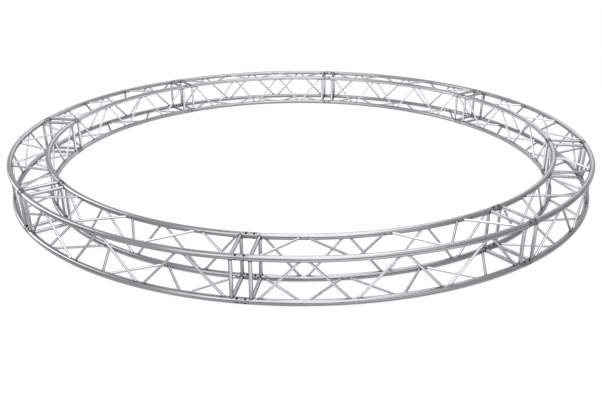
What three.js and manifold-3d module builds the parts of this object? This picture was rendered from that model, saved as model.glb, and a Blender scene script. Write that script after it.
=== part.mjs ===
// Circular lighting truss: eight curved segments of square box truss, pinned into one closed ring.
// Millimetres, +Z up. The origin is the ring's centre at the level of the floor that it lies on.
// Joint 1 is at the front, on -Y, and joints and segments are numbered counter-clockwise from above.
import * as THREE from 'three';
import { mergeVertices } from 'three/addons/utils/BufferGeometryUtils.js';
import Module from 'manifold-3d';

const wasm = await Module();
wasm.setup();

// Ring
const outer_diameter = 6000;
const section_side = 400;
const segment_count = 8;
const front_angle = -Math.PI / 2;

// Tubes, by outside diameter
const chord_diameter = 50;
const diagonal_diameter = 20;
const end_brace_diameter = 30;

// Bracing of one segment: the nodes are where the zigzag meets the chords
const bays = 6;
const first_node_setback = 95;
const toe_spread = 24;
const end_brace_setback = 72;

// Double-ended conical coupler in the ends of two chords that meet
const coupler_length = 108;
const coupler_middle_diameter = 40;
const coupler_tip_diameter = 32;

// Tapered pins, two to a coupler, whose thick ends lean outwards from the vertical
const pin_pitch = 62;
const pin_length = 46;
const pin_head_diameter = 14;
const pin_tip_diameter = 13;
const pin_lean = THREE.MathUtils.degToRad(30);

// Clearances
const joint_gap = 0.3;
const fit_gap = 0.3;
const socket_floor_gap = 1.5;
const bore_overrun = 5;

// Unevenness that still counts as one flat facet
const facet_tolerance = 0.01;

// Facets of the round parts
const chord_sides = 8;
const brace_sides = 6;
const coupler_sides = 6;
const pin_sides = 6;

// Sizes that follow from those above
const segment_angle = 2 * Math.PI / segment_count;
const outer_radius = (outer_diameter - chord_diameter) / 2;
const chord_spacing = section_side - chord_diameter;
const inner_radius = outer_radius - chord_spacing;
const bottom_level = chord_diameter / 2;
const top_level = bottom_level + chord_spacing;
const first_node_angle = Math.asin(first_node_setback / outer_radius);
const bay_angle = (segment_angle - 2 * first_node_angle) / bays;

// The four chords, in the order in which the bracing winds round the section
const chords = [
  { name: 'outer_bottom', radius: outer_radius, level: bottom_level },
  { name: 'outer_top', radius: outer_radius, level: top_level },
  { name: 'inner_top', radius: inner_radius, level: top_level },
  { name: 'inner_bottom', radius: inner_radius, level: bottom_level },
];

const aluminium = { color: 0xc4c5c8, roughness: 0.32, metalness: 0.9 };
const machined_aluminium = { color: 0xb4b5b9, roughness: 0.22, metalness: 0.95 };
const blackened_steel = { color: 0x24252a, roughness: 0.45, metalness: 0.8 };

// Closed geometry to solid, and back
function solid_of(geometry) {
  const bare = geometry.clone();
  bare.deleteAttribute('normal');
  bare.deleteAttribute('uv');
  const merged = mergeVertices(bare);
  return new wasm.Manifold(new wasm.Mesh({
    numProp: 3,
    vertProperties: new Float32Array(merged.attributes.position.array),
    triVerts: new Uint32Array(merged.index.array),
  }));
}

function geometry_of(solid) {
  const mesh = solid.asOriginal().simplify(facet_tolerance).getMesh();
  const geometry = new THREE.BufferGeometry();
  geometry.setAttribute('position', new THREE.BufferAttribute(mesh.vertProperties, 3));
  geometry.setIndex(new THREE.BufferAttribute(mesh.triVerts, 1));
  return geometry;
}

// The corner radius of a regular polygon whose flats lie at the given radius
function corner_radius(radius, sides) {
  return radius / Math.cos(Math.PI / sides);
}

// Skin carried through a row of equal rings of points, with a flat cap at each end
function loft(rings) {
  const count = rings[0].length;
  const positions = rings.flat().flatMap((point) => point.toArray());
  const index = [];
  for (let ring = 0; ring + 1 < rings.length; ring += 1) {
    for (let side = 0; side < count; side += 1) {
      const next = (side + 1) % count;
      const a = ring * count + side;
      const b = ring * count + next;
      index.push(a, b, b + count, a, b + count, a + count);
    }
  }
  const last = (rings.length - 1) * count;
  for (let side = 1; side + 1 < count; side += 1) {
    index.push(0, side + 1, side, last, last + side, last + side + 1);
  }
  const geometry = new THREE.BufferGeometry();
  geometry.setAttribute('position', new THREE.Float32BufferAttribute(positions, 3));
  geometry.setIndex(index);
  return geometry;
}

// Directions at a joint, or at any other radial plane: outwards, and on along the ring
function outward(angle) {
  return new THREE.Vector3(Math.cos(angle), Math.sin(angle), 0);
}

function along(angle) {
  return new THREE.Vector3(-Math.sin(angle), Math.cos(angle), 0);
}

// Nodes of the bracing on a chord, where the chord is also bent to the ring
function node_angle(node) {
  return first_node_angle + node * bay_angle;
}

function node_point(chord, node) {
  return outward(node_angle(node)).multiplyScalar(chord.radius).setZ(chord.level);
}

// Where a diagonal's axis meets the chord's, beside the node on the side of next_node
function toe_point(chord, node, next_node) {
  const reach = node_point(chord, next_node).sub(node_point(chord, node)).setLength(toe_spread / 2);
  return reach.add(node_point(chord, node));
}

// Point on a chord's axis in its straight end, square to the joint at that angle
function straight_point(chord, joint_angle, distance) {
  const reach = chord.radius * Math.cos(first_node_angle);
  return outward(joint_angle).multiplyScalar(reach)
    .addScaledVector(along(joint_angle), distance).setZ(chord.level);
}

// Ring of points round a chord's axis, in the plane of the given outward direction and +Z
function chord_ring(centre, sideways) {
  const corner = corner_radius(chord_diameter / 2, chord_sides);
  const ring = [];
  for (let side = 0; side < chord_sides; side += 1) {
    const turn = (side + 0.5) * 2 * Math.PI / chord_sides;
    const point = centre.clone().addScaledVector(sideways, corner * Math.cos(turn));
    point.z += corner * Math.sin(turn);
    ring.push(point);
  }
  return ring;
}

// One chord of the segment between the joints at angle 0 and at segment_angle
function chord_solid(chord) {
  const end_share = Math.cos(first_node_angle);
  const near_end = straight_point(chord, 0, joint_gap / 2);
  const rings = [chord_ring(near_end, outward(0).multiplyScalar(end_share))];
  for (let node = 0; node <= bays; node += 1) {
    rings.push(chord_ring(node_point(chord, node), outward(node_angle(node))));
  }
  const far_end = straight_point(chord, segment_angle, -joint_gap / 2);
  rings.push(chord_ring(far_end, outward(segment_angle).multiplyScalar(end_share)));
  return solid_of(loft(rings.map((ring) => ring.reverse())));
}

// Straight tube between two points, with a pair of its flats square to face_normal
function brace_solid(start, end, diameter, face_normal) {
  const axis = end.clone().sub(start);
  const length = axis.length();
  const corner = corner_radius(diameter / 2, brace_sides);
  const geometry = new THREE.CylinderGeometry(corner, corner, length, brace_sides, 1);
  axis.normalize();
  const across = new THREE.Vector3().crossVectors(axis, face_normal).normalize();
  const normal = new THREE.Vector3().crossVectors(across, axis);
  geometry.applyMatrix4(new THREE.Matrix4().makeBasis(normal.negate(), axis, across));
  geometry.translate(...start.clone().lerp(end, 0.5).toArray());
  return solid_of(geometry);
}

// The face between two neighbouring chords looks outwards, up, inwards or down
function face_normal(first, second, angle) {
  if (first.radius !== second.radius) return new THREE.Vector3(0, 0, 1);
  return outward(angle);
}

// Zigzag of diagonals on one face: it starts on the first chord and crosses at every node
function face_diagonals(first, second) {
  const diagonals = [];
  for (let bay = 0; bay < bays; bay += 1) {
    const [from, to] = bay % 2 === 0 ? [first, second] : [second, first];
    const start = toe_point(from, bay, bay + 1);
    const end = toe_point(to, bay + 1, bay);
    const normal = face_normal(first, second, node_angle(bay + 0.5));
    diagonals.push(brace_solid(start, end, diagonal_diameter, normal));
  }
  return diagonals;
}

// The two braces of one face that belong to the end frames
function face_end_braces(first, second) {
  return [[0, end_brace_setback], [segment_angle, -end_brace_setback]].map(([joint_angle, distance]) => {
    const start = straight_point(first, joint_angle, distance);
    const end = straight_point(second, joint_angle, distance);
    return brace_solid(start, end, end_brace_diameter, face_normal(first, second, joint_angle));
  });
}

// Double cone turned about the chord's axis: the coupler, or with clearances the sockets for it
function double_cone(clearance, floor_gap) {
  const taper = (coupler_middle_diameter - coupler_tip_diameter) / coupler_length;
  const half_length = coupler_length / 2 + floor_gap;
  const middle = corner_radius(coupler_middle_diameter / 2 + clearance, coupler_sides);
  const tip = corner_radius(coupler_tip_diameter / 2 + clearance - taper * floor_gap, coupler_sides);
  const profile = [
    new THREE.Vector2(0, -half_length),
    new THREE.Vector2(tip, -half_length),
    new THREE.Vector2(middle, 0),
    new THREE.Vector2(tip, half_length),
    new THREE.Vector2(0, half_length),
  ];
  const geometry = new THREE.LatheGeometry(profile, coupler_sides);
  geometry.rotateY(Math.PI / coupler_sides);
  return geometry;
}

// Pin whose thick end points along +Y of the coupler's frame, stretched past both ends by overrun
function pin_geometry(clearance, overrun) {
  const taper = (pin_head_diameter - pin_tip_diameter) / 2 / pin_length;
  const head = pin_head_diameter / 2 + clearance + taper * overrun;
  const tip = pin_tip_diameter / 2 + clearance - taper * overrun;
  return new THREE.CylinderGeometry(head, tip, pin_length + 2 * overrun, pin_sides, 1);
}

// Frame of a chord's joint: X outwards, Y on along the ring, Z up
function joint_matrix(chord, joint_angle) {
  const place = straight_point(chord, joint_angle, 0);
  return new THREE.Matrix4().makeRotationZ(joint_angle).setPosition(place);
}

// The pin's place in that frame, on the given side of the joint
function pin_matrix(side) {
  const lean = new THREE.Matrix4().makeRotationY(pin_lean);
  const upright = new THREE.Matrix4().makeRotationX(Math.PI / 2);
  return new THREE.Matrix4().makeTranslation(0, side * pin_pitch / 2, 0).multiply(lean).multiply(upright);
}

// What is cut from a receiver: its conical socket and, where the pin draws out, the pin's bore
function receiver_cut(chord, joint_angle, side, bored) {
  const matrix = joint_matrix(chord, joint_angle);
  const socket = solid_of(double_cone(fit_gap, socket_floor_gap).applyMatrix4(matrix));
  if (!bored) return socket;
  const bore = pin_geometry(fit_gap, bore_overrun).applyMatrix4(pin_matrix(side)).applyMatrix4(matrix);
  return socket.add(solid_of(bore));
}

// One welded segment: chords, bracing and end frames joined, then its eight receivers cut
function segment_solid(bored_start, bored_end) {
  const pieces = chords.map(chord_solid);
  chords.forEach((first, index) => {
    const second = chords[(index + 1) % chords.length];
    pieces.push(...face_diagonals(first, second), ...face_end_braces(first, second));
  });
  const frame = pieces.reduce((joined, piece) => joined.add(piece));
  return chords.reduce((cut, chord) => (
    cut.subtract(receiver_cut(chord, 0, 1, bored_start))
      .subtract(receiver_cut(chord, segment_angle, -1, bored_end))
  ), frame);
}

// Coupler in its own frame
function coupler_solid(bored) {
  const blank = solid_of(double_cone(0, 0));
  if (!bored) return blank;
  return [-1, 1].reduce((body, side) => {
    const bore = pin_geometry(fit_gap, bore_overrun).applyMatrix4(pin_matrix(side));
    return body.subtract(solid_of(bore));
  }, blank);
}

function named_mesh(name, geometry, finish) {
  const mesh = new THREE.Mesh(geometry, new THREE.MeshStandardMaterial(finish));
  mesh.name = name;
  return mesh;
}

// Joint 1 is where the ring is opened: its receivers and couplers are bored and its pins draw out
function opens(number) {
  return number % segment_count === 1;
}

const plain_segment = geometry_of(segment_solid(false, false));
const first_segment = geometry_of(segment_solid(true, false));
const last_segment = geometry_of(segment_solid(false, true));
const plain_coupler = geometry_of(coupler_solid(false));
const bored_coupler = geometry_of(coupler_solid(true));
const loose_pin = geometry_of(solid_of(pin_geometry(0, 0)));

function segment_mesh(number) {
  let shape = plain_segment;
  if (opens(number)) shape = first_segment;
  if (opens(number + 1)) shape = last_segment;
  return named_mesh(`segment_${number}_frame`, shape, aluminium);
}

// Coupler and pins of one chord's joint, in that joint's frame
function chord_joint(number, chord) {
  const joint = new THREE.Group();
  const shape = opens(number) ? bored_coupler : plain_coupler;
  joint.add(named_mesh(`joint_${number}_coupler_${chord.name}`, shape, machined_aluminium));
  if (!opens(number)) return joint;
  [['left', -1], ['right', 1]].forEach(([side_name, side]) => {
    const pin = named_mesh(`joint_${number}_pin_${chord.name}_${side_name}`, loose_pin, blackened_steel);
    pin.applyMatrix4(pin_matrix(side));
    joint.add(pin);
  });
  return joint;
}

const group = new THREE.Group();
for (let number = 1; number <= segment_count; number += 1) {
  const joint_angle = front_angle + (number - 1) * segment_angle;
  const segment = segment_mesh(number);
  segment.rotation.z = joint_angle;
  group.add(segment);
  chords.forEach((chord) => {
    const joint = chord_joint(number, chord);
    joint.applyMatrix4(joint_matrix(chord, joint_angle));
    group.add(joint);
  });
}

export default group;
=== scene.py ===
"""Circular lighting truss: the looks of the welded segments, couplers and pins, and the studio."""

import math

import bmesh
import bpy
import mathutils
import numpy as np
from bpy.props import (
    FloatProperty,
    FloatVectorProperty,
    IntProperty,
    PointerProperty,
)
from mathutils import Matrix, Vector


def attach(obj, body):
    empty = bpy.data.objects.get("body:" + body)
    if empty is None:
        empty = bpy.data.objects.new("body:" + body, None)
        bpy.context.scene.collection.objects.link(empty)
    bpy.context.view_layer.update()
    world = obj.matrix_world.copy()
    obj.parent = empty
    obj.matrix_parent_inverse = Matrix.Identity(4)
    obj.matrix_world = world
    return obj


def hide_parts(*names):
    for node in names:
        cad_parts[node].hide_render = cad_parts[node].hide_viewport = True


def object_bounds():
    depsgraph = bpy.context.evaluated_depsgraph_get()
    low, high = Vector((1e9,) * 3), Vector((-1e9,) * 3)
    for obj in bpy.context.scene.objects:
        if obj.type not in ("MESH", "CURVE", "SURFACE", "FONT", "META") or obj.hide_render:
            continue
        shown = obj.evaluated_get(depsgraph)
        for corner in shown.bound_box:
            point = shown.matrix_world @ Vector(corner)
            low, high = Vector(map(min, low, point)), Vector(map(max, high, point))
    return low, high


bl_info = {
    "name": "Circular lighting truss",
    "version": (1, 0, 0),
    "blender": (4, 5, 0),
    "location": "3D View > Sidebar > Ring truss",
    "description": "Dresses a pinned ring of curved box truss and lights it in a studio",
    "category": "Object",
}

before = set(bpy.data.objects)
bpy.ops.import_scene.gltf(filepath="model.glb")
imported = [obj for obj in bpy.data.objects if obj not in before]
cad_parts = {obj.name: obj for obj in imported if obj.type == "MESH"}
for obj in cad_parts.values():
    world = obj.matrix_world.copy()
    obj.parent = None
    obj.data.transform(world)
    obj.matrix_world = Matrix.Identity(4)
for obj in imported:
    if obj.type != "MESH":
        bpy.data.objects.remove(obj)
cad_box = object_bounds()

ROOT_BODY = "ring"
UP = np.array([0.0, 0.0, 1.0])

# Angle of joint 1 round the ring, and the sine of its angle below which a joint is a front one
FRONT_ANGLE = -math.pi / 2
FRONT_SINE = -0.3

# How near two points are one, and how far an edge bends before it is left sharp
MERGE_DISTANCE = 2e-6
SHARP_ANGLE = math.radians(32)

# Columns round a drilled sleeve: six to a window, whose edges meet the rays from the bore's
# centre at equal angles, and four to the strip between two windows
WINDOWS = 4
WINDOW_STEPS = np.tan(np.radians([-45, -30, -15, 0, 15, 30, 45]))
MOUTH_POINTS = 24
STRIP_STEPS = 4
WINDOW_HALF_ANGLE = math.radians(27)
WINDOW_HALF_LENGTH = 0.011
ROW_DECIMALS = 9

# Sides of the round tubes and pins, and stations along a bent chord
CHORD_SIDES = 36
DIAGONAL_SIDES = 18
END_BRACE_SIDES = 24
PIN_SIDES = 24
CHORD_STATIONS = 43

# Rows of a sleeve beside its windows: on the receiver's skin, as shares of the bore's station and
# of the receiver's length, and on the coupler's cone, as a share of its half length
NEAR_ROW_SHARE = 0.4
FAR_ROW_SHARE = 0.83
CONE_ROW_SHARE = 0.16

# Dimple in a pin's head, as shares of the head's radius: its edge and its floor
DIMPLE_EDGE_SHARE = 0.36
DIMPLE_FLOOR_SHARE = 0.22

# How far the blackening reaches, from a bore's mouth over the sleeve and from a weld up its
# brace, and how black the brace is at the weld. Round the bores it is painted shade of the bore
# with oil stain, and at the welds it is weld smut with painted shade of the crevice.
STAIN_AND_SHADE_REACH = 0.0028
SMUT_AND_SHADE_REACH = 0.018
SMUT_AND_SHADE_SHARE = 0.5

# Weld beads at the braces: their radii, how far they stand off the tubes and how they ripple
DIAGONAL_BEAD = 0.003
END_BEAD = 0.0038
BEAD_RISE_SHARE = 0.25
BEAD_POINTS = 14
BEAD_SIDES = 4
BEAD_RIPPLES = 7
BEAD_RIPPLE_SHARE = 0.14

# How deep a brace's end is sunk in its chord, and the rise, as a share of its length, from which
# it counts as upright
WELD_SINK = 0.001
UPRIGHT_SHARE = 0.99

# Flush weld beads at the chords' ends: radius, how deep their middle lies, and how they ripple
SEAM_BEAD = 0.0012
SEAM_DEPTH = 0.00125
SEAM_SIDES = 6
SEAM_RIPPLES = 18
SEAM_RIPPLE_SHARE = 0.08

# How finely each way of working the metal draws its lines: along the tube, then across it
DRAWN_LINES = (6, 900, 900)
TURNED_LINES = (2600, 30, 30)
WELD_LINES = (420, 420, 420)
OXIDE_LINES = (900, 300, 300)
BROAD_LINE_FACTOR = 9
LINE_BUMP = 0.25

# How far the broad lines darken the metal and its clouds brighten it, and where the blackening
# attribute begins to blacken it and has done so in full. The blackening is painted shade in the
# pin bores and at the weld toes, together with oil stain and weld smut.
STREAK_SHARE = 0.7
CLOUD_SHARE = 0.35
GRIME_AND_SHADE_START = 0.1
GRIME_AND_SHADE_FULL = 0.6
GRIME_AND_SHADE_COLOUR = (0.012, 0.012, 0.012, 1)

# Values between which most of a noise lies
NOISE_LOW = 0.3
NOISE_HIGH = 0.7

# The studio's floor, whose plain glow grows to full between two distances from the ring's middle
FLOOR_REACH = 60.0
FLOOR_LEVEL = -0.001
GLOW_START = 3.5
GLOW_FULL = 7.0

# Share of the white surroundings that lights the ring, and points along a cloth
WORLD_LIGHT = 0.8
CLOTH_POINTS = 49


def length(name, description, default):
    """A length that a user may change, in metres."""
    return FloatProperty(
        name=name, description=description, default=default, min=0.0, unit="LENGTH", precision=4
    )


def angle(name, description, degrees):
    """An angle that a user may change."""
    return FloatProperty(
        name=name, description=description, default=math.radians(degrees), subtype="ANGLE"
    )


def colour(name, description, default):
    """A colour that a user may change, in linear light."""
    return FloatVectorProperty(
        name=name, description=description, default=default, min=0.0, max=1.0, subtype="COLOR"
    )


def share(name, description, default):
    """A share between nothing and all."""
    return FloatProperty(
        name=name, description=description, default=default, min=0.0, max=1.0, subtype="FACTOR"
    )


def power(name, description, default):
    """A light's power, in watts."""
    return FloatProperty(
        name=name, description=description, default=default, min=0.0, subtype="POWER"
    )


class RingTrussSizes(bpy.types.PropertyGroup):
    """Sizes of the ring, its tubes and its bracing."""

    outer_diameter: length("Outer diameter", "Across the outer chords", 6.0)
    section_side: length("Section side", "Side of the square box section", 0.4)
    segment_count: IntProperty(name="Segments", description="Segments in the ring", default=8)
    chord_diameter: length("Chord", "Outside diameter of the four chords", 0.05)
    diagonal_diameter: length("Diagonal", "Outside diameter of the diagonals", 0.02)
    end_brace_diameter: length("End brace", "Outside diameter of the end braces", 0.03)
    bays: IntProperty(name="Bays", description="Bays of bracing in a segment", default=6)
    first_node_setback: length("First node", "From the joint to the first node", 0.095)
    toe_spread: length("Toe spread", "Between two diagonals at the chord's axis", 0.024)
    end_brace_setback: length("End brace setback", "From the joint to the end braces", 0.072)


class RingTrussJoint(bpy.types.PropertyGroup):
    """Sizes of the receivers, couplers and pins."""

    receiver_length: length("Receiver", "From the joint to the receiver's weld", 0.058)
    coupler_length: length("Coupler length", "Over both cones", 0.108)
    coupler_middle: length("Coupler middle", "Diameter at the middle", 0.04)
    coupler_tip: length("Coupler tip", "Diameter at the tips", 0.032)
    socket_floor_gap: length("Socket floor gap", "Beyond the coupler's tip", 0.0015)
    pin_pitch: length("Pin pitch", "Between the two pins of a coupler", 0.062)
    pin_length: length("Pin length", "Over all", 0.046)
    pin_head: length("Pin head", "Diameter of the thick end", 0.014)
    pin_tip: length("Pin tip", "Diameter of the thin end", 0.013)
    pin_lean: angle("Pin lean", "Of the thick end, outwards from the vertical", 30)
    joint_gap: length("Joint gap", "Between two receivers", 0.0003)
    fit_gap: length("Fit gap", "Between cone and socket", 0.0003)
    chamfer: length("Chamfer", "On the edges of the turned pieces", 0.0005)


class RingTrussFinish(bpy.types.PropertyGroup):
    """Colours and polish of the metals: base colours in linear light."""

    tube: colour("Chord", "Bent chords of drawn aluminium", (0.272, 0.27, 0.287))
    # The diagonals and end braces are the chords' drawn aluminium, painted lighter as painted light
    # for the light that falls on them from above
    brace: colour("Brace", "Brighter drawn aluminium of the diagonals", (0.442, 0.44, 0.467))
    end_brace: colour("End brace", "Drawn aluminium of the end braces", (0.352, 0.35, 0.371))
    machined: colour("Machined", "Turned receivers and couplers", (0.241, 0.24, 0.254))
    # The weld beads are dark weld metal, darkened further as painted shade of the crevice between
    # brace and chord
    weld: colour("Weld", "Weld beads", (0.09, 0.09, 0.095))
    steel: colour("Pin steel", "Blackened and oiled pins", (0.006, 0.006, 0.007))
    tube_roughness: share("Tube roughness", "Of the chords and diagonals", 0.2)
    end_roughness: share("End brace roughness", "Of the end braces", 0.24)
    rim: share("Rim", "Gleam left where the tubes are seen edge on", 0.3)


class RingTrussStudio(bpy.types.PropertyGroup):
    """The camera's place and the strength of the lights."""

    azimuth: angle("Azimuth", "Of the camera round the ring", 8.24)
    elevation: angle("Elevation", "Of the camera above the ring's middle", 18.49)
    distance: length("Distance", "From the ring's middle to the camera", 7.501)
    tilt: angle("Tilt", "By which the camera looks lower than the ring's middle", 4.57)
    lens: FloatProperty(name="Lens", description="In millimetres on a 36 mm sensor", default=40.36)
    key_power: power("Overhead light", "Over the ring, to its front right", 420.0)
    front_power: power("Front light", "Over the floor in front of the ring", 490.0)
    left_power: power("Left light", "Upright box beside the ring", 320.0)
    back_power: power("Back light", "High box behind the ring", 280.0)
    bounce_power: power("Bounce light", "Board on the floor inside the ring", 82.0)
    fill_power: power("Fill light", "Box in front of the ring's left half", 171.5)
    right_power: power("Right light", "Box in front of the ring's right half", 190.0)
    right_floor_power: power("Right floor light", "Board on the floor before the ring", 9.0)
    backdrop_share: share("Floor glow", "Share of the floor that is plain backdrop", 0.85)


def outward(turn):
    """Direction out from the ring's axis at an angle: the cosine and sine of the angle."""
    return np.stack([np.cos(turn), np.sin(turn), np.zeros_like(turn)], -1)


def along(turn):
    """Direction on round the ring at an angle: outward turned by a quarter."""
    return np.stack([-np.sin(turn), np.cos(turn), np.zeros_like(turn)], -1)


def unit(vectors):
    """Vectors divided by their own lengths."""
    return vectors / np.linalg.norm(vectors, axis=-1, keepdims=True)


def full_turn(count):
    """Angles of a number of equal steps once round."""
    return 2 * np.pi * np.arange(count) / count


def round_directions(turn, across, upright):
    """Directions round a tube: the angle's sine across plus its cosine upright."""
    return np.sin(turn)[:, None] * across + np.cos(turn)[:, None] * upright


def grid_quads(index):
    """Four-sided faces between neighbouring rows and columns of a grid of point numbers."""
    return np.stack([index[:-1, :-1], index[:-1, 1:], index[1:, 1:], index[1:, :-1]], -1)


def linked(name, data):
    """A new object of that data, put in the scene."""
    thing = bpy.data.objects.new(name, data)
    bpy.context.scene.collection.objects.link(thing)
    return thing


class Layout:
    """Where the chords, nodes and joints of one segment lie, with its first joint at angle 0."""

    def __init__(self, sizes):
        self.segment_angle = 2 * math.pi / sizes.segment_count
        self.chord_radius = sizes.chord_diameter / 2
        outer = (sizes.outer_diameter - sizes.chord_diameter) / 2
        inner = outer - (sizes.section_side - sizes.chord_diameter)
        bottom = self.chord_radius
        top = sizes.section_side - self.chord_radius
        self.chords = [
            ("outer_bottom", outer, bottom),
            ("outer_top", outer, top),
            ("inner_top", inner, top),
            ("inner_bottom", inner, bottom),
        ]
        self.bays = sizes.bays
        self.toe_spread = sizes.toe_spread
        self.first_node = math.asin(sizes.first_node_setback / outer)
        self.bay_angle = (self.segment_angle - 2 * self.first_node) / sizes.bays

    def node(self, chord, number):
        """Point of a chord at a node: radius times outward, at the chord's level."""
        _, radius, level = self.chords[chord]
        return radius * outward(self.first_node + number * self.bay_angle) + level * UP

    def toe(self, chord, number, towards):
        """End of a diagonal on the chord's axis, half the spread from the node towards the next."""
        node = self.node(chord, number)
        return node + unit(self.node(chord, towards) - node) * self.toe_spread / 2

    def straight(self, chord, turn, distance):
        """Point of a chord's straight end: out to the joint's flat, then along by the distance."""
        _, radius, level = self.chords[chord]
        return (
            radius * math.cos(self.first_node) * outward(turn)
            + distance * along(turn)
            + level * UP
        )


class Surface:
    """Grids of points, each a function of two parameters, gathered for one piece.

    Grids that share an edge have the same points there, which are merged when the mesh is made.
    """

    def __init__(self):
        self.points, self.grains, self.dirt, self.quads, self.caps = [], [], [], [], []
        self.count = 0

    def grid(self, points, grain, keep=None, dirt=None):
        """Four-sided faces between neighbouring rows and columns, and the last column and first.

        keep drops the faces where it is false, and the last argument holds each row's share of
        blackening, which is painted shade with oil stain or weld smut.
        """
        rows, columns = points.shape[:2]
        index = self.count + np.arange(rows * columns).reshape(rows, columns)
        quads = grid_quads(np.hstack([index, index[:, :1]]))
        if keep is not None:
            quads = quads[keep]
        self.points.append(points.reshape(-1, 3))
        self.grains.append(grain.reshape(-1, 3))
        self.dirt.append(np.repeat(np.zeros(rows) if dirt is None else dirt, columns))
        self.quads.append(quads.reshape(-1, 4))
        self.count += rows * columns

    def cap(self, ring, grain):
        """One flat face across a closed ring of points."""
        self.points.append(ring)
        self.grains.append(grain)
        self.dirt.append(np.zeros(len(ring)))
        self.caps.append(list(range(self.count, self.count + len(ring))))
        self.count += len(ring)

    def lathe(self, centres, across, upright, radii, sides, travel):
        """Rings carried along a path: centre plus radius times (sine across, cosine upright).

        across, upright, radii and travel have one entry a station, and the ends are closed flat.
        """
        turn = full_turn(sides)
        radii = radii[:, None, None]
        sine, cosine = np.sin(turn)[None, :, None], np.cos(turn)[None, :, None]
        points = centres[:, None] + radii * (sine * across[:, None] + cosine * upright[:, None])
        grain = np.concatenate(
            [
                np.broadcast_to(travel[:, None, None], points.shape[:2] + (1,)),
                radii * np.broadcast_to(sine, points.shape[:2] + (1,)),
                radii * np.broadcast_to(cosine, points.shape[:2] + (1,)),
            ],
            -1,
        )
        self.grid(points, grain)
        self.cap(points[0], grain[0])
        self.cap(points[-1], grain[-1])


def spun(points, turn):
    """Points turned about the ring's axis by an angle."""
    sine, cosine = math.sin(turn), math.cos(turn)
    return points @ np.array([[cosine, sine, 0], [-sine, cosine, 0], [0, 0, 1]])


def make_piece(name, surface, material, turn, body=ROOT_BODY, sharp=SHARP_ANGLE):
    """A mesh from gathered grids, turned about the ring's axis, merged, with its faces outwards.

    Edges that bend by more than the sharp angle stay sharp, and the rest are shaded round.
    """
    mesh = bpy.data.meshes.new(name)
    points = spun(np.concatenate(surface.points), turn)
    faces = np.concatenate(surface.quads).tolist() + surface.caps
    mesh.from_pydata(points.tolist(), [], faces)
    grain = np.concatenate(surface.grains) + np.array([turn, 0, 0])
    attribute = mesh.attributes.new("grain", "FLOAT_VECTOR", "POINT")
    attribute.data.foreach_set("vector", grain.astype(np.float32).ravel())
    # Share of blackening at each point: painted shade in bores and at welds, with oil stain and
    # weld smut
    dirt = mesh.attributes.new("dirt", "FLOAT", "POINT")
    dirt.data.foreach_set("value", np.concatenate(surface.dirt).astype(np.float32))
    merged = bmesh.new()
    merged.from_mesh(mesh)
    bmesh.ops.remove_doubles(merged, verts=merged.verts, dist=MERGE_DISTANCE)
    bmesh.ops.recalc_face_normals(merged, faces=merged.faces)
    merged.to_mesh(mesh)
    merged.free()
    mesh.polygons.foreach_set("use_smooth", [True] * len(mesh.polygons))
    mesh.set_sharp_from_angle(angle=sharp)
    mesh.materials.append(material)
    piece = linked(name, mesh)
    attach(piece, body)
    return piece


class Place:
    """Frame of a chord's joint: outwards, along the chord away from the joint, and up."""

    def __init__(self, origin, out, away):
        self.origin, self.out, self.away = origin, out, away

    def __call__(self, local):
        """Local points (out, away, up) put in the segment's frame."""
        return (
            self.origin
            + local[..., :1] * self.out
            + local[..., 1:2] * self.away
            + local[..., 2:] * UP
        )


def round_points(turns, stations, radii):
    """Points of a round sleeve: radius times the sine outwards and the cosine upwards."""
    sine, cosine = np.sin(turns), np.cos(turns)
    return np.stack([radii * sine, stations + 0 * radii * sine, radii * cosine], -1)


def column_turns(lean):
    """Angles of the columns of a drilled sleeve: window steps round each bore, then a strip."""
    quarter = 2 * math.pi / WINDOWS
    window = WINDOW_HALF_ANGLE * WINDOW_STEPS
    strip = np.linspace(WINDOW_HALF_ANGLE, quarter - WINDOW_HALF_ANGLE, STRIP_STEPS + 1)[1:-1]
    one = np.concatenate([window, strip])
    return np.concatenate([lean + number * quarter + one for number in range(WINDOWS)])


def mouth_rings(centre_turn, station, bore, radius_at, chamfer):
    """Rings from a window's edge to a bore's mouth, as (angle, station, radius) triples.

    Round the bore by an angle, the edge of the window lies where the ray at that angle meets
    its square, and the mouth where a straight bore meets the round surface: the sine of the
    angle from the bore's plane is the sideways distance over the surface's radius. Where the
    mouth is chamfered, a ring round it bounds the painted shade and oil stain round the mouth,
    and a last one lies deeper.
    """
    ray = full_turn(MOUTH_POINTS)
    side, lift = np.cos(ray), np.sin(ray)
    square = np.maximum(np.abs(side), np.abs(lift))
    edge_turn = WINDOW_HALF_ANGLE * side / square
    edge_station = station + WINDOW_HALF_LENGTH * lift / square

    def circle(radius, depth):
        stations = station + radius * lift
        surface = radius_at(stations)
        height = np.sqrt(surface**2 - (radius * side) ** 2) - depth
        return np.arctan2(radius * side, height), stations, np.hypot(radius * side, height)

    rings = [(edge_turn, edge_station, radius_at(edge_station))]
    if chamfer:
        # Edge of the blackened ring round the mouth: painted shade of the bore, with oil stain
        rings.append(circle(bore + chamfer + STAIN_AND_SHADE_REACH, 0))
    rings.append(circle(bore + chamfer, 0))
    if chamfer:
        rings.append(circle(bore, chamfer))
    return [(turn + centre_turn, stations, radii) for turn, stations, radii in rings]


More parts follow.
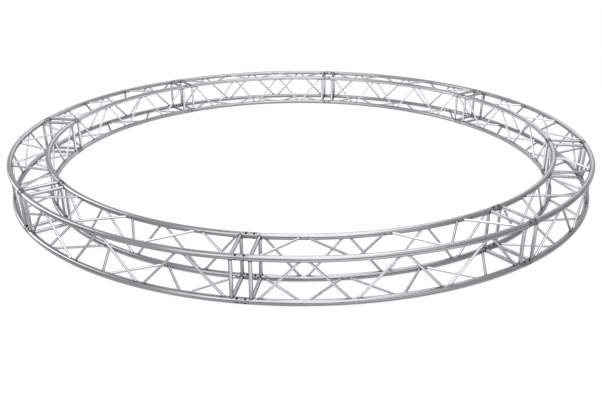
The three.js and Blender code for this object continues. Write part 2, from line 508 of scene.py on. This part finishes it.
def drilled_sleeve(surface, place, rows, lean, mouths, chamfer=0.0):
    """Round sleeve whose bores leave open windows, each filled by rings to the bore's mouth.

    rows are (station, radius) pairs without the windows' rows, mouths are (window number,
    station, bore radius). Returns the sleeve's first and last ring in the segment's frame, and
    the innermost ring of each mouth, both as local points and in the segment's frame.
    """
    stations, radii = np.array(sorted(rows)).T

    def radius_at(station):
        return np.interp(station, stations, radii)

    centres = sorted({station for _, station, _ in mouths})
    window_rows = [centre + WINDOW_HALF_LENGTH * WINDOW_STEPS for centre in centres]
    all_rows = np.unique(np.round(np.concatenate([stations, *window_rows]), ROW_DECIMALS))
    turns = column_turns(lean)
    local = round_points(turns[None], all_rows[:, None], radius_at(all_rows)[:, None])
    grain = local[..., [1, 0, 2]]
    keep = np.ones((len(all_rows) - 1, len(turns)), bool)
    per_window = len(WINDOW_STEPS) - 1 + STRIP_STEPS
    for window, centre, _ in mouths:
        middle = (all_rows[:-1] + all_rows[1:]) / 2
        inside = np.abs(middle - centre) < WINDOW_HALF_LENGTH
        first = window * per_window
        keep[np.ix_(inside, range(first, first + len(WINDOW_STEPS) - 1))] = False
    surface.grid(place(local), grain, keep=keep)
    inner = []
    for window, centre, bore in mouths:
        turn = lean + window * 2 * math.pi / WINDOWS
        rings = mouth_rings(turn, centre, bore, radius_at, chamfer)
        patch = np.stack([round_points(*ring) for ring in rings])
        # The chamfer is black and the ring round it fades to black: painted shade of the bore, with
        # oil stain
        surface.grid(place(patch), patch[..., [1, 0, 2]], dirt=np.arange(len(rings)) > 1)
        inner.append((patch[-1], place(patch[-1])))
    return place(local[0]), place(local[-1]), inner


def bore_radius(joint, height):
    """Radius of the tapered bore at a height along it: the pin's own radius plus the fit gap."""
    taper = (joint.pin_head - joint.pin_tip) / 2 / joint.pin_length
    return (joint.pin_head + joint.pin_tip) / 4 + taper * height + joint.fit_gap


def add_receiver(surface, place, layout, joint):
    """Turned end piece of a chord: a sleeve with a conical socket, drilled across twice.

    The socket's radius is half the coupler's middle plus the fit gap, less the taper times the
    distance from the joint.
    """
    outer, edge = layout.chord_radius, joint.chamfer
    face, weld = joint.joint_gap / 2, joint.receiver_length
    station = joint.pin_pitch / 2
    taper = (joint.coupler_middle - joint.coupler_tip) / joint.coupler_length
    depth = joint.coupler_length / 2 + joint.socket_floor_gap

    def socket(distance):
        return joint.coupler_middle / 2 + joint.fit_gap - taper * distance

    bores = [bore_radius(joint, height) for height in (outer, -outer, -outer, outer)]
    skin = [
        (face, outer - edge),
        (face + edge, outer),
        (NEAR_ROW_SHARE * station, outer),
        (FAR_ROW_SHARE * weld, outer),
        (weld - edge, outer),
        (weld, outer - edge),
    ]
    mouths = [(window, station, bore) for window, bore in enumerate(bores)]
    near, far, outside = drilled_sleeve(surface, place, skin, joint.pin_lean, mouths, edge)
    hollow = [
        (face, socket(face) + edge),
        (face + edge, socket(face + edge)),
        (depth, socket(depth)),
    ]
    lip, floor, inside = drilled_sleeve(surface, place, hollow, joint.pin_lean, mouths)
    surface.grid(np.stack([near, lip]), np.stack([near, lip]))
    surface.cap(far, far)
    surface.cap(floor, floor)
    for (outer_local, outer_ring), (inner_local, inner_ring) in zip(outside, inside):
        local = np.stack([outer_local, inner_local])[..., [1, 0, 2]]
        # The bore's wall is black: painted shade inside the bore, with oil stain
        surface.grid(np.stack([outer_ring, inner_ring]), local, dirt=[1, 1])


def add_bead(surface, line, out, side, radii, sides):
    """Closed bead: the line's point plus the radius times (cosine outwards, sine to the side)."""
    roll = full_turn(sides)
    points = line[:, None] + radii[:, None, None] * (
        np.cos(roll)[None, :, None] * out[:, None] + np.sin(roll)[None, :, None] * side[:, None]
    )
    rows = np.concatenate([points, points[:1]])
    surface.grid(rows, rows)


def add_chord(tubes, seams, layout, joint, chord):
    """Tube bent to the ring between its two receivers, with a flush weld at each.

    Its axis is straight up to the first node, then radius times outward at the chord's level.
    """
    _, radius, level = layout.chords[chord]
    seam, edge = joint.receiver_length, joint.chamfer
    half = radius * math.sin(layout.first_node)
    near = [seam, seam + edge, seam + 3 * edge, (seam + half) / 2]
    start = np.stack([layout.straight(chord, 0, distance) for distance in near])
    finish = np.stack(
        [layout.straight(chord, layout.segment_angle, -distance) for distance in near[::-1]]
    )
    last_node = layout.segment_angle - layout.first_node
    turns = np.linspace(layout.first_node, last_node, CHORD_STATIONS)
    points = np.concatenate([start, radius * outward(turns) + level * UP, finish])
    tangents = unit(np.gradient(points, axis=0))
    across = np.cross(tangents, UP)
    upright = np.broadcast_to(UP, points.shape)
    radii = np.full(len(points), layout.chord_radius)
    radii[[0, -1]] -= edge
    travel = np.concatenate([[0], np.cumsum(np.linalg.norm(np.diff(points, axis=0), axis=1))])
    tubes.lathe(points, across, upright, radii, CHORD_SIDES, travel)
    roll = full_turn(CHORD_SIDES)
    ripple = 1 - SEAM_RIPPLE_SHARE * (1 - np.sin(SEAM_RIPPLES * roll + chord))
    for turn, distance in ((0, seam), (layout.segment_angle, -seam)):
        out = round_directions(roll, outward(turn), UP)
        side = np.broadcast_to(np.cross(outward(turn), UP), out.shape)
        line = layout.straight(chord, turn, distance) + (layout.chord_radius - SEAM_DEPTH) * out
        add_bead(seams, line, out, side, SEAM_BEAD * ripple, SEAM_SIDES)


def meeting(offset, heading, tangent, skin):
    """Distance along a brace, at offsets from its axis, to the round skin of the chord it leaves.

    It is the larger root of: squared distance from the chord's axis less the skin's squared.
    """
    free = offset - (offset @ tangent)[:, None] * tangent
    pace = heading - heading @ tangent * tangent
    inner = free @ pace
    room = inner**2 - pace @ pace * ((free**2).sum(1) - skin**2)
    return (-inner + np.sqrt(room)) / (pace @ pace)


def add_brace(braces, beads, layout, start, end, tangents, diameter, sides, bead):
    """Straight tube between two chords' axes, with a weld bead where it meets each chord.

    Its rings follow the chords' skins: one sunk in each skin, and one where the weld smut and the
    painted shade of the crevice end.
    A bead is a small ring carried along the line where the tube, a share of the bead's radius
    thicker, meets the chord's skin, and it swells and thins with the ripples.
    """
    reach = end - start
    span = np.linalg.norm(reach)
    axis = reach / span
    across = unit(np.cross(axis, UP if abs(axis[2]) < UPRIGHT_SHARE else outward(0)))
    upright = np.cross(across, axis)
    turn = full_turn(sides)
    ring = diameter / 2 * round_directions(turn, across, upright)
    near = meeting(ring, axis, tangents[0], layout.chord_radius)
    far = span - meeting(ring, -axis, tangents[1], layout.chord_radius)
    travel = np.stack([near - WELD_SINK, near + SMUT_AND_SHADE_REACH, far - SMUT_AND_SHADE_REACH, far + WELD_SINK])
    points = start + ring + travel[..., None] * axis
    sine, cosine = (diameter / 2 * wave(turn) + 0 * travel for wave in (np.sin, np.cos))
    grain = np.stack([travel, sine, cosine], -1)
    # The brace's ends are blackened towards the chord: weld smut with painted shade of the crevice
    braces.grid(points, grain, dirt=[SMUT_AND_SHADE_SHARE, 0, 0, SMUT_AND_SHADE_SHARE])
    braces.cap(points[0], grain[0])
    braces.cap(points[-1], grain[-1])
    turn = full_turn(BEAD_POINTS)
    out = round_directions(turn, across, upright)
    radii = bead * (1 + BEAD_RIPPLE_SHARE * np.cos(BEAD_RIPPLES * turn))
    rise = BEAD_RISE_SHARE * bead
    offset = (diameter / 2 + rise) * out
    for foot, heading, tangent in ((start, axis, tangents[0]), (end, -axis, tangents[1])):
        root = meeting(offset, heading, tangent, layout.chord_radius + rise)
        line = foot + offset + root[:, None] * heading
        along_line = unit(np.roll(line, -1, 0) - np.roll(line, 1, 0))
        add_bead(beads, line, out, np.cross(along_line, out), radii, BEAD_SIDES)


def chord_tangent(layout, number):
    """Direction of the bent chords at a node: on round the ring."""
    return along(layout.first_node + number * layout.bay_angle)


def segment_surfaces(sizes, joint):
    """The five kinds of piece of one welded segment, with its first joint at angle 0."""
    layout = Layout(sizes)
    joints = ((0, 1), (layout.segment_angle, -1))
    tubes, receivers, braces, frames, beads = (Surface() for _ in range(5))
    for chord in range(len(layout.chords)):
        add_chord(tubes, beads, layout, joint, chord)
        for turn, side in joints:
            place = Place(layout.straight(chord, turn, 0), outward(turn), side * along(turn))
            add_receiver(receivers, place, layout, joint)
        other = (chord + 1) % len(layout.chords)
        for bay in range(layout.bays):
            low, high = (chord, other) if bay % 2 == 0 else (other, chord)
            ends = layout.toe(low, bay, bay + 1), layout.toe(high, bay + 1, bay)
            tangents = chord_tangent(layout, bay), chord_tangent(layout, bay + 1)
            add_brace(
                braces, beads, layout, *ends, tangents, sizes.diagonal_diameter, DIAGONAL_SIDES,
                DIAGONAL_BEAD,
            )
        for turn, side in joints:
            distance = side * sizes.end_brace_setback
            ends = [layout.straight(number, turn, distance) for number in (chord, other)]
            tangents = [along(turn)] * 2
            add_brace(
                frames, beads, layout, *ends, tangents, sizes.end_brace_diameter, END_BRACE_SIDES,
                END_BEAD,
            )
    return {
        "chords": tubes,
        "receivers": receivers,
        "diagonals": braces,
        "end_frames": frames,
        "welds": beads,
    }


def pin_lean(joint, turn):
    """Lean of the pins of a joint at an angle round the ring.

    The receivers are drilled twice, a quarter turn apart. At the front joints the pins are in the
    bores that lean outwards, and at the others in those that lean inwards, so that their heads
    are seen from the front.
    """
    quarter = 2 * math.pi / WINDOWS
    return joint.pin_lean - (quarter if math.sin(turn) > FRONT_SINE else 0)


def coupler_surface(layout, joint, chord, lean):
    """Double cone in the two sockets of a joint, bored for its two tapered pins.

    Its radius falls evenly from the middle to each tip, whose edge is chamfered.
    """
    surface = Surface()
    place = Place(layout.straight(chord, 0, 0), outward(0), along(0))
    half, middle, tip = joint.coupler_length / 2, joint.coupler_middle / 2, joint.coupler_tip / 2
    edge, station = joint.chamfer, joint.pin_pitch / 2
    cone = [
        (half, tip - edge),
        (half - edge, tip),
        (CONE_ROW_SHARE * half, middle - CONE_ROW_SHARE * (middle - tip)),
    ]
    rows = [(0, middle)] + cone + [(-distance, radius) for distance, radius in cone]
    mouths = [
        (window, side * station, bore_radius(joint, height))
        for side in (-1, 1)
        for window, height in ((0, middle), (2, -middle))
    ]
    first, last, rings = drilled_sleeve(surface, place, rows, lean, mouths)
    surface.cap(first, first)
    surface.cap(last, last)
    facing = (MOUTH_POINTS // 2 - np.arange(MOUTH_POINTS)) % MOUTH_POINTS
    for (_, head), (_, foot) in (rings[0:2], rings[2:4]):
        wall = np.stack([head, foot[facing]])
        surface.grid(wall, wall)
    return surface


def pin_surface(layout, joint, chord, side, lean):
    """Tapered pin: rings along its leaning axis, with chamfered ends and a dimple in the head.

    Its axis is the sine of the lean outwards plus the cosine of the lean upwards.
    """
    surface = Surface()
    half, edge = joint.pin_length / 2, joint.chamfer
    axis = math.sin(lean) * outward(0) + math.cos(lean) * UP
    across = along(0)
    upright = np.cross(axis, across)
    head, tip = joint.pin_head / 2, joint.pin_tip / 2
    rows = [
        (-half, tip - edge),
        (-half + edge, tip),
        (half - edge, head),
        (half, head - edge),
        (half, DIMPLE_EDGE_SHARE * head),
        (half - 2 * edge, DIMPLE_FLOOR_SHARE * head),
    ]
    heights, radii = np.array(rows).T
    middle = layout.straight(chord, 0, side * joint.pin_pitch / 2)
    centres = middle + heights[:, None] * axis
    across, upright = (np.broadcast_to(way, centres.shape) for way in (across, upright))
    surface.lathe(centres, across, upright, radii, PIN_SIDES, heights)
    return surface


class Nodes:
    """Short way to add and link the nodes of a procedural material."""

    def __init__(self, name):
        self.material = bpy.data.materials.new(name)
        self.material.use_nodes = True
        self.tree = self.material.node_tree
        self.tree.nodes.clear()

    def add(self, kind, values=None, **options):
        """A node of that kind, with its options set and its sockets given values or links."""
        node = self.tree.nodes.new(kind)
        for option, value in options.items():
            setattr(node, option, value)
        for socket, value in (values or {}).items():
            if isinstance(value, bpy.types.NodeSocket):
                self.tree.links.new(value, node.inputs[socket])
            else:
                node.inputs[socket].default_value = value
        return node

    def pattern(self, vector, scale, detail):
        """Noise over the piece, stretched by three scales."""
        stretch = self.add("ShaderNodeMapping", {"Vector": vector, "Scale": scale})
        noise = self.add(
            "ShaderNodeTexNoise", {"Vector": stretch.outputs[0], "Scale": 1.0, "Detail": detail}
        )
        return noise.outputs["Fac"]

    def spread(self, value, low, high, start=NOISE_LOW, stop=NOISE_HIGH):
        """Value mapped from the range between start and stop to that between low and high."""
        limits = {"From Min": start, "From Max": stop, "To Min": low, "To Max": high}
        return self.add("ShaderNodeMapRange", {"Value": value, **limits}).outputs[0]

    def speckled(self, scale, dark, pale):
        """Matt surface whose grey drifts between two shades in patches."""
        place = self.add("ShaderNodeTexCoord").outputs["Object"]
        patches = self.spread(self.pattern(place, (scale, scale, scale), detail=2.0), 0.0, 1.0)
        grey = self.mix(patches, (dark, dark, dark, 1), (pale, pale, pale, 1))
        return self.add("ShaderNodeBsdfDiffuse", {"Color": grey}).outputs[0]

    def mix(self, factor, first, second):
        """A colour between two, which are the node's inputs 6 and 7 and its output 2."""
        node = self.add("ShaderNodeMix", data_type="RGBA")
        for socket, value in ((0, factor), (6, first), (7, second)):
            if isinstance(value, bpy.types.NodeSocket):
                self.tree.links.new(value, node.inputs[socket])
            else:
                node.inputs[socket].default_value = value
        return node.outputs[2]


def metal(name, base, lines, mottle, roughness, span, depth, contrast, metallic=1.0, gloss=0.5,
          rim=1.0):
    """Metal with fine lines along or round the piece, slow clouding, and roughness to match them.

    The piece's own grain attribute runs along the tube with its first number and across it with
    the other two, so the three numbers of lines set which way the lines run and how fine they
    are. mottle is the scale of the clouding, span how far the roughness strays, and rim how much
    of the metal's gleam is left where it is seen edge on. The piece's blackening attribute blackens
    it: painted shade in the pin bores and at the weld toes, with oil stain and weld smut.
    """
    nodes = Nodes(name)
    grain = nodes.add("ShaderNodeAttribute", attribute_name="grain").outputs["Vector"]
    place = nodes.add("ShaderNodeTexCoord").outputs["Object"]
    broad_lines = tuple(scale / BROAD_LINE_FACTOR for scale in lines)
    fine = nodes.pattern(grain, lines, detail=3.0)
    broad = nodes.pattern(grain, broad_lines, detail=2.0)
    cloud = nodes.pattern(place, (mottle, mottle, mottle), detail=4.0)
    dark = tuple(channel * (1 - contrast) for channel in base) + (1,)
    light = tuple(min(1, channel * (1 + contrast)) for channel in base) + (1,)
    lined = nodes.mix(nodes.spread(fine, 0.0, 1.0), dark, light)
    streaked = nodes.mix(nodes.spread(broad, 0.0, STREAK_SHARE), lined, dark)
    clouded = nodes.mix(nodes.spread(cloud, 0.0, CLOUD_SHARE), streaked, light)
    # Blackening from the attribute: painted shade in the pin bores and at the weld toes, with oil
    # stain and weld smut
    dirt = nodes.add("ShaderNodeAttribute", attribute_name="dirt").outputs["Fac"]
    blackened = nodes.spread(dirt, 0.0, 1.0, GRIME_AND_SHADE_START, GRIME_AND_SHADE_FULL)
    dirty = nodes.mix(blackened, clouded, GRIME_AND_SHADE_COLOUR)
    bump = nodes.add(
        "ShaderNodeBump", {"Height": fine, "Strength": LINE_BUMP, "Distance": depth}
    ).outputs[0]
    shader = nodes.add(
        "ShaderNodeBsdfPrincipled",
        {
            "Base Color": dirty,
            "Metallic": metallic,
            "Specular IOR Level": gloss,
            "Specular Tint": (rim, rim, rim, 1),
            "Roughness": nodes.spread(broad, roughness - span, roughness + span),
            "Normal": bump,
        },
    )
    nodes.add("ShaderNodeOutputMaterial", {"Surface": shader.outputs[0]})
    return nodes.material


def finishes(settings):
    """The metals, made once: chord, diagonal, end brace, turned receiver, weld bead, pin.

    Three quarters of what the rim takes from the other tubes' gleam is given back to the chords.
    """
    drawn = {"lines": DRAWN_LINES, "mottle": 5, "span": 0.07, "depth": 0.0002}
    wanted = {
        "drawn_aluminium": {
            **drawn, "base": settings.tube, "roughness": settings.tube_roughness,
            "contrast": 0.25, "rim": (3 + settings.rim) / 4,
        },
        # The diagonals: the chords' aluminium painted lighter, as painted light
        "painted_light_aluminium": {
            **drawn, "base": settings.brace, "roughness": settings.tube_roughness,
            "contrast": 0.2, "rim": settings.rim,
        },
        # The end braces: the chords' aluminium painted lighter, as painted light
        "soft_painted_light_aluminium": {
            **drawn, "base": settings.end_brace, "roughness": settings.end_roughness,
            "contrast": 0.2, "rim": settings.rim,
        },
        "turned_aluminium": {
            "base": settings.machined, "lines": TURNED_LINES, "mottle": 30, "roughness": 0.3,
            "span": 0.07, "depth": 0.0002, "contrast": 0.12, "rim": settings.rim,
        },
        # Weld beads: dark weld metal, darker still as painted shade of the crevice
        "weld_bead": {
            "base": settings.weld, "lines": WELD_LINES, "mottle": 60, "roughness": 0.45,
            "span": 0.1, "depth": 0.0006, "contrast": 0.2,
        },
        "black_oxide_steel": {
            "base": settings.steel, "lines": OXIDE_LINES, "mottle": 200, "roughness": 0.5,
            "span": 0.1, "depth": 0.0002, "contrast": 0.35, "metallic": 0.0, "gloss": 0.12,
        },
    }
    return {
        name: bpy.data.materials.get(name) or metal(name, **values)
        for name, values in wanted.items()
    }


class TRUSS_OT_segments(bpy.types.Operator):
    """Build the welded segments: bent chords, drilled receivers, braces and weld beads"""

    bl_idname = "ring_truss.segments"
    bl_label = "Segments"

    def execute(self, context):
        sizes, joint = context.scene.ring_truss_sizes, context.scene.ring_truss_joint
        metals = finishes(context.scene.ring_truss_finish)
        surfaces = segment_surfaces(sizes, joint)
        kinds = {
            "chords": metals["drawn_aluminium"],
            "receivers": metals["turned_aluminium"],
            "diagonals": metals["painted_light_aluminium"],
            "end_frames": metals["soft_painted_light_aluminium"],
            "welds": metals["weld_bead"],
        }
        for number in range(sizes.segment_count):
            turn = FRONT_ANGLE + number * 2 * math.pi / sizes.segment_count
            for kind, material in kinds.items():
                name = f"segment_{number + 1}_{kind}"
                sharp = math.pi if kind == "welds" else SHARP_ANGLE
                piece = make_piece(
                    name, surfaces[kind], material, turn, sharp=sharp
                )
                if kind == "chords":
                    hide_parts(f"segment_{number + 1}_frame")
        return {"FINISHED"}


class TRUSS_OT_couplers(bpy.types.Operator):
    """Build the double-ended conical couplers in the chords' joints"""

    bl_idname = "ring_truss.couplers"
    bl_label = "Couplers"

    def execute(self, context):
        sizes, joint = context.scene.ring_truss_sizes, context.scene.ring_truss_joint
        metals = finishes(context.scene.ring_truss_finish)
        layout = Layout(sizes)
        for chord, (name, _, _) in enumerate(layout.chords):
            for number in range(sizes.segment_count):
                turn = FRONT_ANGLE + number * layout.segment_angle
                surface = coupler_surface(layout, joint, chord, pin_lean(joint, turn))
                node = f"joint_{number + 1}_coupler_{name}"
                piece = make_piece(
                    f"{node}_turned",
                    surface,
                    metals["turned_aluminium"],
                    turn,
                )
                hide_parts(node)
        return {"FINISHED"}


class TRUSS_OT_pins(bpy.types.Operator):
    """Build the tapered pins, of which those of joint 1 slide out"""

    bl_idname = "ring_truss.pins"
    bl_label = "Pins"

    def execute(self, context):
        sizes, joint = context.scene.ring_truss_sizes, context.scene.ring_truss_joint
        metals = finishes(context.scene.ring_truss_finish)
        layout = Layout(sizes)
        for chord, (name, _, _) in enumerate(layout.chords):
            for word, side in (("left", -1), ("right", 1)):
                for number in range(sizes.segment_count):
                    turn = FRONT_ANGLE + number * layout.segment_angle
                    surface = pin_surface(layout, joint, chord, side, pin_lean(joint, turn))
                    node = f"joint_{number + 1}_pin_{name}_{word}"
                    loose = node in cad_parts
                    piece = make_piece(
                        f"{node}_tapered",
                        surface,
                        metals["black_oxide_steel"],
                        turn,
                        node if loose else ROOT_BODY,
                    )
                    if loose:
                        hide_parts(node)
        return {"FINISHED"}


def backdrop_rays(tree):
    """Largest of Light Path's camera, glossy and transmission rays."""
    path = tree.nodes.new("ShaderNodeLightPath")
    found = path.outputs["Is Camera Ray"]
    for ray in ("Is Glossy Ray", "Is Transmission Ray"):
        larger = tree.nodes.new("ShaderNodeMath")
        larger.operation = "MAXIMUM"
        tree.links.new(found, larger.inputs[0])
        tree.links.new(path.outputs[ray], larger.inputs[1])
        found = larger.outputs[0]
    return found


def floor_material(share_of_glow):
    """Pale floor that keeps a soft shadow and otherwise shows as plain white.

    Its glow grows from its share near the ring to full far off, for the rays of the backdrop.
    """
    nodes = Nodes("studio_floor")
    tree = nodes.tree
    matt = nodes.speckled(scale=0.6, dark=0.86, pale=0.9)
    glow = nodes.add("ShaderNodeEmission", {"Strength": 1.0}).outputs[0]
    place = nodes.add("ShaderNodeTexCoord").outputs["Object"]
    radius = nodes.add("ShaderNodeVectorMath", {0: place}, operation="LENGTH").outputs["Value"]
    far = nodes.spread(radius, share_of_glow, 1.0, GLOW_START, GLOW_FULL)
    factor = nodes.add("ShaderNodeMath", {0: backdrop_rays(tree), 1: far}, operation="MULTIPLY")
    both = nodes.add("ShaderNodeMixShader", {0: factor.outputs[0], 1: matt, 2: glow})
    nodes.add("ShaderNodeOutputMaterial", {"Surface": both.outputs[0]})
    return nodes.material


def area_light(name, place, target, width, depth, energy, spin=0.0, shape="RECTANGLE"):
    """Soft box at a place, facing a target, turned by spin about the line to it."""
    light = bpy.data.lights.new(name, "AREA")
    light.shape = shape
    light.size, light.size_y, light.energy = width, depth, energy
    lamp = linked(name, light)
    lamp.visible_camera = False
    lamp.location = place
    heading = mathutils.Vector(target) - mathutils.Vector(place)
    turned = mathutils.Quaternion(heading.normalized(), spin)
    lamp.rotation_euler = (turned @ heading.to_track_quat("-Z", "Y")).to_euler()


def hung_cloth(name, first, last, radius, low, high, shade):
    """Grey cloth round the studio, out of the picture, for the dark lines in bare metal.

    Its points are the radius times outward between two angles, at a low and a high level.
    """
    turn = np.radians(np.linspace(first, last, CLOTH_POINTS))
    rows = radius * outward(turn) + np.array([low, high])[:, None, None] * UP
    index = np.arange(2 * CLOTH_POINTS).reshape(2, CLOTH_POINTS)
    mesh = bpy.data.meshes.new(name)
    mesh.from_pydata(rows.reshape(-1, 3).tolist(), [], grid_quads(index).reshape(-1, 4).tolist())
    nodes = Nodes(name)
    matt = nodes.speckled(scale=2, dark=0.8 * shade, pale=1.2 * shade)
    nodes.add("ShaderNodeOutputMaterial", {"Surface": matt})
    mesh.materials.append(nodes.material)
    cloth = linked(name, mesh)
    cloth.visible_camera = False


def studio_floor(share_of_glow):
    """Square floor just under the ring's lowest point."""
    mesh = bpy.data.meshes.new("studio_floor")
    corners = [(-1, -1), (1, -1), (1, 1), (-1, 1)]
    points = [(FLOOR_REACH * x, FLOOR_REACH * y, FLOOR_LEVEL) for x, y in corners]
    mesh.from_pydata(points, [], [(0, 1, 2, 3)])
    mesh.materials.append(floor_material(share_of_glow))
    linked("studio_floor", mesh)


def studio_world():
    """White surroundings that shine fully in the backdrop and in reflections, and light less."""
    world = bpy.data.worlds.new("studio_world")
    bpy.context.scene.world = world
    world.use_nodes = True
    tree = world.node_tree
    background = tree.nodes["Background"]
    level = tree.nodes.new("ShaderNodeMapRange")
    tree.links.new(backdrop_rays(tree), level.inputs["Value"])
    level.inputs["To Min"].default_value = WORLD_LIGHT
    level.inputs["To Max"].default_value = 1.0
    tree.links.new(level.outputs[0], background.inputs["Strength"])
    background.inputs["Color"].default_value = (1, 1, 1, 1)


def studio_camera(studio):
    """Camera at the photograph's place, looking a little below the ring's middle."""
    middle = (cad_box[0].z + cad_box[1].z) / 2
    level_reach = studio.distance * math.cos(studio.elevation)
    camera_data = bpy.data.cameras.new("camera")
    camera_data.lens = studio.lens
    camera_data.sensor_width = 36.0
    camera_data.clip_end = 200.0
    camera = linked("camera", camera_data)
    camera.location = (
        level_reach * math.sin(studio.azimuth),
        -level_reach * math.cos(studio.azimuth),
        middle + studio.distance * math.sin(studio.elevation),
    )
    look_down = studio.elevation + studio.tilt
    camera.rotation_euler = (math.pi / 2 - look_down, 0, studio.azimuth)
    bpy.context.scene.camera = camera


class TRUSS_OT_studio(bpy.types.Operator):
    """Set up the floor, the soft lights, the world and the camera"""

    bl_idname = "ring_truss.studio"
    bl_label = "Studio"

    def execute(self, context):
        studio = context.scene.ring_truss_studio
        studio_floor(studio.backdrop_share)
        studio_world()
        # Cloths: first and last angle round the ring in degrees, radius, two levels, and shade
        hung_cloth("studio_low_left_cloth", -170, -140, 9.5, 0.1, 1.5, 0.04)
        hung_cloth("studio_low_front_cloth", -108, -50, 9.5, 0.1, 1.8, 0.1)
        hung_cloth("studio_low_right_cloth", -50, 25, 9.5, 0.1, 1.5, 0.15)
        hung_cloth("studio_right_cloth", -20, 28, 10.0, 1.5, 7.0, 0.72)
        # Lights: place, target, width and depth, power, spin and shape
        area_light("overhead_softbox", (1.5, -1.3, 6.5), (1.5, -1.3, 0), 5.6, 9.4, studio.key_power)
        area_light(
            "front_softbox", (-0.5, -10.1, 6.5), (-0.5, -10.1, 0), 11.0, 8.0, studio.front_power
        )
        area_light(
            "left_softbox", (-9.0, -0.4, 4.2), (0.0, -0.4, 4.2), 3.6, 8.6, studio.left_power,
            math.radians(20),
        )
        area_light(
            "back_softbox", (0.0, 11.0, 5.5), (0.0, 0.0, 0.4), 14.0, 5.0, studio.back_power
        )
        area_light(
            "bounce_board", (0.0, 0.0, 0.002), (0.0, 0.0, 1.0), 5.1, 5.1, studio.bounce_power,
            shape="DISK",
        )
        area_light(
            "right_floor_board", (1.14, -3.52, 0.003), (1.14, -3.52, 1.0), 2.8, 1.3,
            studio.right_floor_power, math.radians(18),
        )
        area_light(
            "right_softbox", (6.0, -10.0, 5.0), (0.9, -2.8, 0.4), 10.0, 3.6, studio.right_power
        )
        area_light(
            "fill_softbox", (-5.0, -13.0, 4.0), (-1.3, -2.7, 0.4), 6.0, 4.5, studio.fill_power
        )
        studio_camera(studio)
        context.scene.view_settings.view_transform = "Standard"
        return {"FINISHED"}


class TRUSS_PT_panel(bpy.types.Panel):
    """Sizes, finishes and buttons of the ring truss"""

    bl_label = "Ring truss"
    bl_idname = "TRUSS_PT_panel"
    bl_space_type = "VIEW_3D"
    bl_region_type = "UI"
    bl_category = "Ring truss"

    def draw(self, context):
        layout = self.layout
        for group in GROUPS:
            settings = getattr(context.scene, group)
            column = layout.column(align=True)
            for name in settings.bl_rna.properties.keys():
                if name not in ("rna_type", "name"):
                    column.prop(settings, name)
        for operator in OPERATORS:
            layout.operator(operator.bl_idname)


GROUPS = {
    "ring_truss_sizes": RingTrussSizes,
    "ring_truss_joint": RingTrussJoint,
    "ring_truss_finish": RingTrussFinish,
    "ring_truss_studio": RingTrussStudio,
}
OPERATORS = (TRUSS_OT_segments, TRUSS_OT_couplers, TRUSS_OT_pins, TRUSS_OT_studio)
CLASSES = (*GROUPS.values(), *OPERATORS, TRUSS_PT_panel)


def register():
    """Makes the settings, buttons and panel known to Blender."""
    for each in CLASSES:
        bpy.utils.register_class(each)
    for name, group in GROUPS.items():
        setattr(bpy.types.Scene, name, PointerProperty(type=group))


def unregister():
    """Takes them away again."""
    for name in GROUPS:
        delattr(bpy.types.Scene, name)
    for each in reversed(CLASSES):
        bpy.utils.unregister_class(each)


def main():
    """Registers the add-on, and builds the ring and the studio."""
    register()
    bpy.ops.ring_truss.segments()
    bpy.ops.ring_truss.couplers()
    bpy.ops.ring_truss.pins()
    bpy.ops.ring_truss.studio()


if __name__ == "__main__":
    main()
